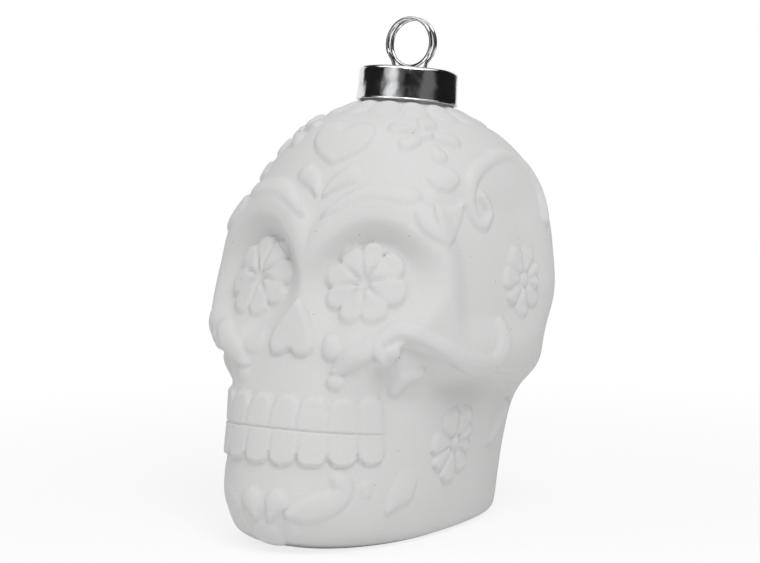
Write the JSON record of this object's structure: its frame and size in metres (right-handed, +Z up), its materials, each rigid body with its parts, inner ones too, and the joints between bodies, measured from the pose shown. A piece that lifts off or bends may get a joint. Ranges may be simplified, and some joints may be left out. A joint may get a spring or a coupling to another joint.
{
  "type": "sugar skull ornament",
  "caption": "Hollow moulded skull with raised flowers, hearts, scrolls and square teeth, closed at its neck by a pressed metal cap with a wire hanging ring.",
  "frame": {"origin": "on the flat base, below the middle of the cap's rim", "axes": "+Z up, away from the base; the face looks along -Y; +X is the skull's own left"},
  "size_m": [0.068, 0.0852, 0.1101],
  "materials": {
    "bisque": "matt unglazed white bisque",
    "cap_metal": "bright plated pressed sheet",
    "hanger_wire": "bright spring wire"
  },
  "bodies": {
    "skull": {"skull_shell": "bisque"},
    "cap": {"cap": "cap_metal"},
    "hanger": {"wire_hanger": "hanger_wire"}
  },
  "joints": [
    {"name": "cap_lift", "type": "slide", "parent": "skull", "child": "cap", "axis": [0, 0.1461, 0.9893], "range_m": [0, 0.028]},
    {"name": "hanger_pull", "type": "slide", "parent": "cap", "child": "hanger", "axis": [0, 0.1461, 0.9893], "range_m": [0, 0.0045], "stiffness_N_per_m": 40}
  ]
}
